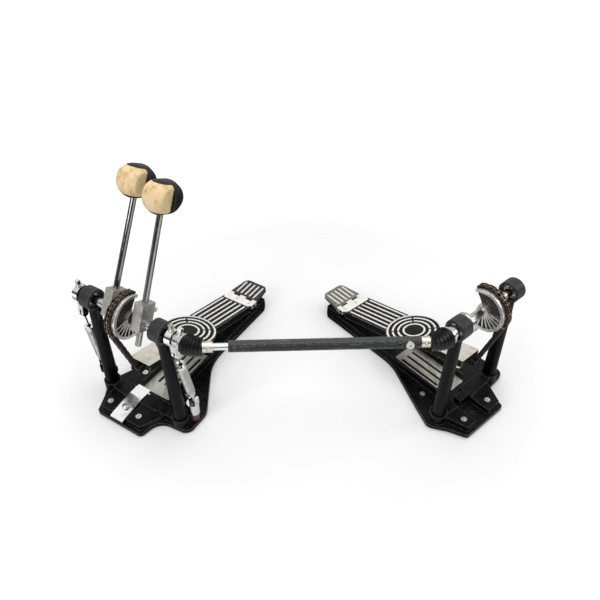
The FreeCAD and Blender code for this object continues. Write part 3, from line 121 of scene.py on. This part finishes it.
for name, place, turn, size, power in (
    ("lamp_above", (0.25, 0.1, 1.7), (0, 0, 0), 1.5, 16.0),
    ("lamp_front_left", (-0.9, -1.1, 1.1), (math.radians(55), 0, math.radians(-42)), 0.8, 11.0),
    ("lamp_right", (1.6, 0.1, 0.9), (0, math.radians(62), 0), 0.7, 4.0),
):
    lamp = bpy.data.lights.new(name, "AREA")
    lamp.size = size
    lamp.energy = power
    stand = bpy.data.objects.new(name, lamp)
    stand.location = place
    stand.rotation_euler = turn
    scene.collection.objects.link(stand)

lens = bpy.data.cameras.new("camera")
lens.lens = 38.66
lens.sensor_width = 36.0
lens.clip_start = 0.01
eye = bpy.data.objects.new("camera", lens)
eye.location = (0.2056, -0.6179, 0.7504)
eye.rotation_euler = (math.radians(48.55), 0.0, math.radians(-1.88))
scene.collection.objects.link(eye)
scene.camera = eye


# ---------------------------------------------------------------- base castings and mats
# Each pedal stands on a gravity-cast aluminium base, powder coated satin black, with a thin
# rubber mat glued under it and four screws sunk in its top.
MM = 0.001
nodes = frame["nodes"]


def grain(millimetres):
    """A noise scale whose blotches are that wide."""
    return 1000.0 / millimetres


def finish(name, colour, mark, patch, rough, metallic=0.0, grit=0.8, depth=0.01, dust=None,
           edge=None, scratch=0.0, mark_share=0.5, run=(1, 1, 1), shine=0.5, cover=None):
    """A surface blotched with a second colour, with a fine grit.

    It may have dust, pale edges (worn, and on some surfaces also a painted highlight) and
    scratches. patch and grit are widths and depth a height in mm, and rough is (low, high). A
    cover is a second colour: its colour, the way it lies and how far along that way it starts, in
    metres. Grit is drawn coarser than the real one, to show.
    """
    made = blank("materials", name)
    where = add(made, "TexCoord")
    laid = add(made, "Mapping", {"Vector": where.outputs["Object"], "Scale": run})
    spots = add(made, "TexNoise", {"Vector": laid.outputs[0], "Scale": grain(patch),
                                   "Detail": 6.0, "Roughness": 0.65})
    amount = add(made, "MapRange", {"Value": spots.outputs[0],
                                    "From Min": 0.72 - mark_share * 0.4,
                                    "From Max": 0.86 - mark_share * 0.4})
    shade = add(made, "Mix", {0: amount.outputs[0], 6: linear(colour), 7: linear(mark)},
                data_type="RGBA").outputs[2]
    sheen = add(made, "TexNoise", {"Vector": laid.outputs[0], "Scale": grain(patch * 0.6),
                                   "Detail": 4.0})
    gloss = add(made, "MapRange", {"Value": sheen.outputs[0], "From Min": 0.35, "From Max": 0.65,
                                   "To Min": rough[0], "To Max": rough[1]}).outputs[0]
    if dust:
        up = add(made, "SeparateXYZ", {0: where.outputs["Normal"]})
        flat = add(made, "MapRange", {"Value": up.outputs["Z"], "From Min": 0.6, "From Max": 1.0})
        film = add(made, "TexNoise", {"Vector": where.outputs["Object"], "Scale": grain(7.0),
                                      "Detail": 8.0, "Roughness": 0.75})
        film = add(made, "MapRange", {"Value": film.outputs[0], "From Min": 0.5,
                                      "From Max": 0.8, "To Max": 0.3})
        film = add(made, "Math", {0: film.outputs[0], 1: flat.outputs[0]}, operation="MULTIPLY")
        shade = add(made, "Mix", {0: film.outputs[0], 6: shade, 7: linear(dust)},
                    data_type="RGBA").outputs[2]
        gloss = add(made, "Mix", {0: film.outputs[0], 2: gloss, 3: 0.85}).outputs[0]
    # Pale edges found by the bevel: worn through, and on some surfaces also a painted highlight
    # where an edge would catch the lamps.
    if edge:
        plain = add(made, "NewGeometry")
        soft = add(made, "Bevel", {"Radius": 0.9 * MM}, samples=4)
        turn = add(made, "VectorMath", {0: plain.outputs["Normal"], 1: soft.outputs[0]},
                   operation="DOT_PRODUCT")
        edge_wear_and_sheen_breaks = add(made, "TexNoise", {"Vector": where.outputs["Object"], "Scale": grain(3.0),
                                        "Detail": 5.0})
        limit = add(made, "MapRange", {"Value": edge_wear_and_sheen_breaks.outputs[0], "From Min": 0.4,
                                       "From Max": 0.7, "To Min": 0.999, "To Max": 0.86})
        edge_wear_and_sheen = add(made, "Math", {0: turn.outputs["Value"], 1: limit.outputs[0]},
                   operation="LESS_THAN")
        shade = add(made, "Mix", {0: edge_wear_and_sheen.outputs[0], 6: shade, 7: linear(edge)},
                    data_type="RGBA").outputs[2]
        gloss = add(made, "Mix", {0: edge_wear_and_sheen.outputs[0], 2: gloss, 3: 0.42}).outputs[0]
    if cover:
        overlay, way, start = cover
        along = add(made, "VectorMath", {0: where.outputs["Object"], 1: way},
                    operation="DOT_PRODUCT")
        overlaid = add(made, "Math", {0: along.outputs["Value"], 1: start},
                      operation="GREATER_THAN")
        shade = add(made, "Mix", {0: overlaid.outputs[0], 6: shade, 7: linear(overlay)},
                    data_type="RGBA").outputs[2]
    if scratch:
        for turned, width in ((0.35, 0.25), (-0.9, 0.2), (1.4, 0.3)):
            line = add(made, "Mapping", {"Vector": where.outputs["Object"],
                                         "Rotation": (0.2, turned, turned),
                                         "Scale": (0.03, 1.0, 1.0)})
            cut = add(made, "TexNoise", {"Vector": line.outputs[0], "Scale": grain(width * 6),
                                         "Detail": 1.0})
            cut = add(made, "MapRange", {"Value": cut.outputs[0], "From Min": 0.74,
                                         "From Max": 0.78, "To Max": scratch})
            shade = add(made, "Mix", {0: cut.outputs[0], 6: shade, 7: linear(mark)},
                        data_type="RGBA").outputs[2]
    rise = add(made, "TexNoise", {"Vector": laid.outputs[0], "Scale": grain(grit), "Detail": 3.0})
    bump = add(made, "Bump", {"Height": rise.outputs[0], "Distance": depth * MM, "Strength": 1.0})
    skin = add(made, "BsdfPrincipled", {"Base Color": shade, "Roughness": gloss,
                                        "Metallic": metallic, "Normal": bump.outputs[0],
                                        "Specular IOR Level": shine})
    add(made, "OutputMaterial", {"Surface": skin.outputs[0]})
    return made


def axle_line(pedal):
    """The middle of a pedal's axle in metres, the way it points, and the way from toe to heel."""
    joint = next(j for j in frame["joints"] if j["name"] == pedal + "_axle_swing")
    along = Vector(joint["axis"])
    return Vector(joint["pos_m"]), along, Vector((0, 0, 1)).cross(along)


def pedal_point(pedal, point):
    """A point in metres as mm along the axle, from toe to heel, and up from the floor."""
    middle, along, back = axle_line(pedal)
    reach = Vector(point) - middle
    return reach.dot(along) / MM, reach.dot(back) / MM, point[2] / MM


def dress(name, *skins, pick=None):
    """Gives a CAD piece its materials; pick tells each face the number of the one it takes."""
    piece = nodes[name]
    piece.data.materials.clear()
    for skin in skins:
        piece.data.materials.append(skin)
    if pick:
        pedal = "slave" if name.startswith("slave") else "main"
        for face in piece.data.polygons:
            face.material_index = int(pick(face, *pedal_point(pedal, face.center)))
    return piece


# Powder coat: a deep satin black, dusty on top, with pale edges that are partly rubbed through
# and partly a painted highlight.
cast_black = finish("powder_coated_casting", "#08080A", "#151516", patch=24.0, rough=(0.24, 0.36),
                    grit=0.9, depth=0.02, dust="#3A3835", edge="#6B6A66", scratch=0.3, shine=0.12)
# Moulded rubber: a dead black with no shine.
mat_rubber = finish("moulded_mat_rubber", "#080808", "#101010", patch=5.0, rough=(0.75, 0.9),
                    grit=0.5, depth=0.02, shine=0.15)
# Tarnished chrome: bright heads with duller spots.
screw_steel = finish("tarnished_screw_chrome", "#D9D7D0", "#8F8B84", patch=2.0, rough=(0.16, 0.4),
                     metallic=1.0, grit=0.4, depth=0.005)
for pedal in ("main", "slave"):
    dress(pedal + "_base_casting", cast_black)
    dress(pedal + "_floor_mat", mat_rubber)
    dress(pedal + "_base_screws", screw_steel)


# ---------------------------------------------------------------- floor plates
# A steel plate lies in each base behind the channel, pressed out with long slots and screwed
# down. Its front is bare steel, and its back, under the board, is coloured flat black.
BARE_BACK = 0.122  # metres from the axle to where the flat black starts
for pedal in ("main", "slave"):
    middle, _, back = axle_line(pedal)
    overlay = ("#0B0B0B", back, back.dot(middle) + BARE_BACK)
    # Brushed steel: a pale grey with streaks along the plate, and flat black further back.
    plate_steel = finish("brushed_floor_steel_" + pedal, "#CCC9BF", "#A8A59C", patch=14.0,
                         rough=(0.35, 0.55), metallic=0.45, grit=0.5, depth=0.006, scratch=0.3,
                         run=(1, 0.2, 1), cover=overlay)
    dress(pedal + "_floor_plate", plate_steel)


# ---------------------------------------------------------------- posts and bearing housings
# Tapered posts, turned and coated black, are screwed up into round cast housings in dark
# grey. A ball bearing with bright rings is pressed into each housing.
AXLE_UP = 186.5  # mm from the floor to the axles
RING_OUT = 11.96  # mm, just inside the bore that holds the bearing
RING_HALF = 3.1  # mm, a little over half a bearing's width
# Coated steel: black, smooth enough for a soft streak of light down each post.
post_black = finish("gloss_coated_post", "#060607", "#101011", patch=20.0, rough=(0.26, 0.4),
                    grit=1.2, depth=0.01, edge="#3E3D3C", scratch=0.2, shine=0.1)
# Coated casting: a satin grey that reads lighter than the posts.
housing_grey = finish("satin_coated_housing", "#282929", "#323232", patch=8.0, rough=(0.34, 0.46),
                      grit=0.7, depth=0.02, edge="#5A5A5C", shine=0.25)
# Ground steel: small bright rings.
bearing_steel = finish("ground_bearing_steel", "#B9B8B4", "#8D8B87", patch=3.0, rough=(0.16, 0.3),
                       metallic=1.0)
for pedal, bearing_at in (("main", 60.0), ("slave", 56.0)):
    dress(pedal + "_posts", post_black)
    dress(pedal + "_bearing_units", housing_grey, bearing_steel,
          pick=lambda face, u, v, z, at=bearing_at:
          math.hypot(v, z - AXLE_UP) < RING_OUT and abs(abs(u) - at) < RING_HALF)


# ---------------------------------------------------------------- heel plates
# A cast aluminium heel plate is fixed on the tail of each base, polished by shoes on its ribs
# and knuckles. The main one keeps its coat between the ribs, and the slave one is worn bare.
RIB_FOOT = 35.2  # mm above the floor, between the grooves and the tops of the ribs
KNUCKLES_END = 244.0  # mm behind the axle
# Polished aluminium: bright ribs with a few dull flecks.
heel_alloy = finish("polished_heel_aluminium", "#EAE8E3", "#BAB7B0", patch=4.0, rough=(0.2, 0.34),
                    metallic=0.75, grit=1.5, depth=0.003, scratch=0.12, mark_share=0.28)
# Worn coat: brownish black with patches of grey metal.
heel_coat = finish("worn_heel_coat", "#2A2827", "#8D8A84", patch=3.5, rough=(0.35, 0.5), grit=0.6,
                   depth=0.03, mark_share=0.42, shine=0.2)
# Bare casting: mid grey with paler patches.
bare_heel = finish("bare_heel_casting", "#6F6C67", "#B0ADA6", patch=3.5, rough=(0.3, 0.45),
                   metallic=0.5, grit=0.6, depth=0.03, mark_share=0.45, shine=0.3)
for pedal, groove in (("main", heel_coat), ("slave", bare_heel)):
    dress(pedal + "_heel_plate", groove, heel_alloy,
          pick=lambda face, u, v, z: z > RIB_FOOT or v < KNUCKLES_END)


# ---------------------------------------------------------------- footboards
# The footboard is die-cast aluminium coated black. Its raised lines and rings are ground
# bright and are level with the bare toe tongue; the coat stays in the grooves and sides.
PITCH = math.radians(13.8)
HINGE_BACK, HINGE_UP = 237.0, 33.0  # mm from the axle and the floor to the hinge pin
GROOVE_TOP = 4.45  # mm over the pin, between the groove's floor and the lines
HEEL_END, HEEL_TOP = 12.0, 1.0  # mm along and over, the ground end behind the first lines
TONGUE, TONGUE_TOP = 176.0, 3.9  # mm along and over, the bare toe tongue
# Ground aluminium: the lines' near-white tops, finely scratched.
ridge_alloy = finish("ground_tread_aluminium", "#F3F1EC", "#D2CFC8", patch=3.0, rough=(0.2, 0.34),
                     metallic=0.6, grit=0.6, depth=0.004, scratch=0.25, mark_share=0.4)
# Coated casting: black grooves with dust in them and pale worn edges.
board_black = finish("coated_tread_casting", "#09090A", "#181716", patch=6.0, rough=(0.34, 0.5),
                     grit=0.5, depth=0.03, dust="#3A3734", edge="#A5A29C", shine=0.12)
# Bare aluminium: a dull warm grey.
tongue_alloy = finish("bare_tongue_aluminium", "#D6D1C3", "#BDB7A8", patch=9.0, rough=(0.42, 0.6),
                      metallic=0.25, grit=0.6, depth=0.02, scratch=0.3)


def board_skin(face, u, v, z):
    """Coat, ground line or bare tongue, by how far along the board and over its pin a face is."""
    forward, up = HINGE_BACK - v, z - HINGE_UP
    along = forward * math.cos(PITCH) + up * math.sin(PITCH)
    high = up * math.cos(PITCH) - forward * math.sin(PITCH)
    if high > GROOVE_TOP or (along < HEEL_END and high > HEEL_TOP):
        return 1
    return 2 if along > TONGUE and high > TONGUE_TOP else 0


for pedal in ("main", "slave"):
    dress(pedal + "_footboard", board_black, ridge_alloy, tongue_alloy, pick=board_skin)
    dress(pedal + "_board_fittings", post_black)


# ---------------------------------------------------------------- chains
# Roller chain of pressed steel plates on riveted pins, hung from the wheel to the toe clip and
# brown with oil and old rust.
CHAIN_MIDDLE = 2.0  # mm from the pedal's own middle, along the axle
ROLLER_HALF = 3.4  # mm, a little over half a roller's length
# Oiled plates: dark brown with rusty flecks.
chain_plate = finish("oiled_chain_plate", "#1C1411", "#5E4A3E", patch=1.8, rough=(0.3, 0.55),
                     metallic=0.6, grit=0.5, depth=0.02, mark_share=0.45)
# Rubbed rollers: brown, with bright spots that are painted highlights.
chain_roller_and_glints = finish("rubbed_chain_roller_and_painted_glints", "#6E5A4C", "#C9BFB2", patch=1.6, rough=(0.2, 0.4),
                      metallic=0.9, grit=0.5, depth=0.02)
for pedal in ("main", "slave"):
    for part in ("_chain_wrap", "_chain_span"):
        dress(pedal + part, chain_plate, chain_roller_and_glints,
              pick=lambda face, u, v, z, axle=axle_line(pedal)[1]:
              abs(u - CHAIN_MIDDLE) < ROLLER_HALF and abs(face.normal.dot(axle)) < 0.5)


# ---------------------------------------------------------------- chain wheels
# The wheel is a bright aluminium casting with ribs fanning out from its hub to the rim, and
# a moulded rubber peg under its tab that the wheel rests against.
HUB_EDGE, RIM_INNER, RIM_OUTER = 10.4, 26.9, 32.0  # mm from the axle
PEG_TOP = 4.95  # mm from the chain's middle, where the tab's metal starts
# Cast aluminium: bright, softly mottled, with polished edges.
wheel_alloy = finish("bright_cast_wheel", "#D6D4CF", "#ABA8A3", patch=5.0, rough=(0.22, 0.36),
                     metallic=0.85, grit=0.8, depth=0.008, edge="#F0EFEC")
# Painted shade: the floor between the ribs is coloured a dark brown grey with paler mottling, as
# if in shadow.
wheel_recess_shade = finish("painted_shade_wheel_recess", "#34312F", "#6A6661", patch=3.0, rough=(0.4, 0.6),
                      metallic=0.6, grit=0.5, depth=0.02)
# Moulded rubber: a matt black peg.
peg_rubber = finish("moulded_peg_rubber", "#121212", "#1E1E1E", patch=3.0, rough=(0.5, 0.7),
                    grit=0.5, depth=0.01)
for pedal, side, rib_top in (("main", 1.0, 8.0), ("slave", -1.0, 6.4)):

    def wheel_skin(face, u, v, z, side=side, rib_top=rib_top):
        """Metal, painted recess shade or rubber, by how far out along and round the axle a face
        is.
        """
        out = side * (u - CHAIN_MIDDLE)
        reach = math.hypot(v, z - AXLE_UP)
        if reach > RIM_OUTER and out < PEG_TOP:
            return 2
        return 1 if out < rib_top and HUB_EDGE < reach < RIM_INNER else 0

    dress(pedal + "_chain_wheel", wheel_alloy, wheel_recess_shade, peg_rubber, pick=wheel_skin)


# ---------------------------------------------------------------- axles and joint yokes
# Ground steel bars turn in the bearings. The second beater's bar runs in a black sleeve, and
# the slave's carries a bright clamp collar inside its left housing.
SLEEVE_END = 26.0  # mm from the pedal's middle, along the axle
BAR_RADIUS = 6.3  # mm, just over the bar's own
# Ground steel: a grey mirror with faint duller bands.
axle_steel = finish("ground_axle_steel", "#BDBCB8", "#85837F", patch=5.0, rough=(0.12, 0.26),
                    metallic=1.0, grit=0.6, depth=0.003)
# Moulded plastic: a plain satin black.
sleeve_black = finish("moulded_sleeve", "#101010", "#1C1C1C", patch=3.0, rough=(0.35, 0.5))
dress("second_axle", axle_steel, sleeve_black,
      pick=lambda face, u, v, z: u < SLEEVE_END and math.hypot(v, z - AXLE_UP) > BAR_RADIUS)
for pedal in ("main", "slave"):
    for part in ("_axle", "_axle_yoke", "_joint_cross"):
        dress(pedal + part, axle_steel)


# ---------------------------------------------------------------- beater holders and rods
# Each holder is a zinc casting clamped on the axle. The rod is 8 mm polished steel, held in it
# by a square-headed key screw.

# Tumbled and plated zinc: a dull silver with brighter edges.
holder_zinc = finish("tumbled_holder_zinc", "#A6A5A0", "#8B8882", patch=7.0, rough=(0.36, 0.5),
                     metallic=0.75, grit=0.6, depth=0.02, edge="#DAD8D2")
# Polished steel: a clean dark mirror.
rod_steel = finish("polished_rod_steel", "#8F8E8B", "#7A7977", patch=12.0, rough=(0.08, 0.16),
                   metallic=1.0, grit=0.8, depth=0.001)
for beater in ("main", "second"):
    dress(beater + "_beater_holder", holder_zinc)
    dress(beater + "_beater_rod", rod_steel)
    dress(beater + "_key_bolts", screw_steel)


# ---------------------------------------------------------------- beater heads
# The head is two-faced: a turned maple half for the drum and a moulded black rubber half
# behind. The wood is dry and dented where it strikes.
SKIN = 0.7  # mm, fineness of the softened skins
# Turned maple: pale, with soft streaks along the grain.
maple = finish("turned_maple", "#E6CDA0", "#CBA26C", patch=9.0, rough=(0.5, 0.62), grit=2.2,
               depth=0.2, run=(1.0, 1.0, 0.35), mark_share=0.56, shine=0.3)
# Moulded rubber: black with a soft wide highlight.
head_rubber = finish("moulded_beater_rubber", "#0E0E0E", "#1C1B1A", patch=5.0, rough=(0.36, 0.5),
                     grit=0.6, depth=0.04, shine=0.25)
for beater in ("main", "second"):
    for part, skin in (("_beater_wood", maple), ("_beater_rubber", head_rubber)):
        half = dress(beater + part, skin)
        dense = half.modifiers.new("dense_skin", "REMESH")
        dense.mode = "VOXEL"
        dense.voxel_size = SKIN * MM
        dense.use_smooth_shade = True
        soft = half.modifiers.new("softened_edges", "SMOOTH")
        soft.factor = 0.5
        soft.iterations = 10


# ---------------------------------------------------------------- springs
# A return spring hangs from each rocker by a wire hook. Its coil is drawn down by a threaded
# rod with a nut, over a bracket on one side and a knob on the other.
BUSH_TOP = 22.05  # mm above the floor
# Chrome plate: a near-white mirror.
chrome = finish("bright_chrome_plate", "#E2E2E2", "#C4C3C1", patch=8.0, rough=(0.05, 0.12),
                metallic=1.0, grit=0.8, depth=0.001)
# Drawn wire: softer than the plate, so that the coils read as fine lines.
coil_chrome = finish("drawn_coil_chrome", "#B9B8B4", "#9A9894", patch=8.0, rough=(0.36, 0.46),
                     metallic=0.9, grit=2.0, depth=0.001)
# Dark wire: grey brown with paler rubbed spots.
hook_wire = finish("dark_hook_wire", "#3A3835", "#6E6B66", patch=2.0, rough=(0.25, 0.45),
                   metallic=1.0)
# Phenolic bush: a mottled brown.
bush_brown = finish("phenolic_bush", "#5A4638", "#7C6553", patch=2.5, rough=(0.4, 0.55))
for beater in ("main", "second"):
    for part, skin in (("_spring_rocker", chrome), ("_spring_coil", coil_chrome),
                       ("_spring_ends", chrome), ("_spring_hook", hook_wire)):
        dress(beater + part, skin)
dress("main_spring_bracket", post_black)
dress("second_spring_stand", chrome, bush_brown, pick=lambda face, u, v, z: z < BUSH_TOP)


# ---------------------------------------------------------------- universal joint boots
# Moulded black rubber bellows cover both universal joints. Each has six deep rings and
# narrows towards the shaft.

# Moulded rubber: black, with a thin light on each ring.
boot_rubber = finish("moulded_boot_rubber", "#080808", "#121211", patch=6.0, rough=(0.28, 0.4),
                     grit=0.6, depth=0.01, shine=0.25)
for pedal in ("main", "slave"):
    dress(pedal + "_joint_boot", boot_rubber)


# ---------------------------------------------------------------- drive shaft
# A chromed inner rod slides in a six-sided painted tube and is locked by one big screw. A pale
# gold collar closes each end.

# Passivated zinc: a pale gold.
collar_gold = finish("passivated_pale_collar", "#CFC9B8", "#A59C84", patch=3.0, rough=(0.2, 0.35),
                     metallic=0.9, grit=1.5, depth=0.003)
# Scratched paint: a greenish black, flecked and lined with bare metal, its edges paler, partly
# bare metal and partly a painted highlight.
tube_paint = finish("scratched_tube_paint", "#202321", "#B9BDBC", patch=1.6, rough=(0.26, 0.42),
                    metallic=0.1, grit=0.9, depth=0.02, edge="#7C807E", scratch=0.35,
                    mark_share=0.07, shine=0.4)
dress("shaft_inner_rod", chrome)
dress("shaft_inner_collar", collar_gold)
dress("shaft_outer_collar", collar_gold)
dress("shaft_tube", tube_paint)
dress("shaft_lock_bolt", axle_steel)


# ---------------------------------------------------------------- hoop clamp
# A bent steel jaw at the front of the main base pulls the drum's hoop down on the casting.
# One screw through it sets the grip.

# Buffed chrome: a white mirror with broad soft patches.
jaw_chrome = finish("buffed_jaw_chrome", "#F2F2F2", "#DAD9D7", patch=14.0, rough=(0.08, 0.16),
                    metallic=0.9, grit=3.0, depth=0.001)
dress("hoop_jaw", jaw_chrome)
dress("hoop_clamp_screw", axle_steel)
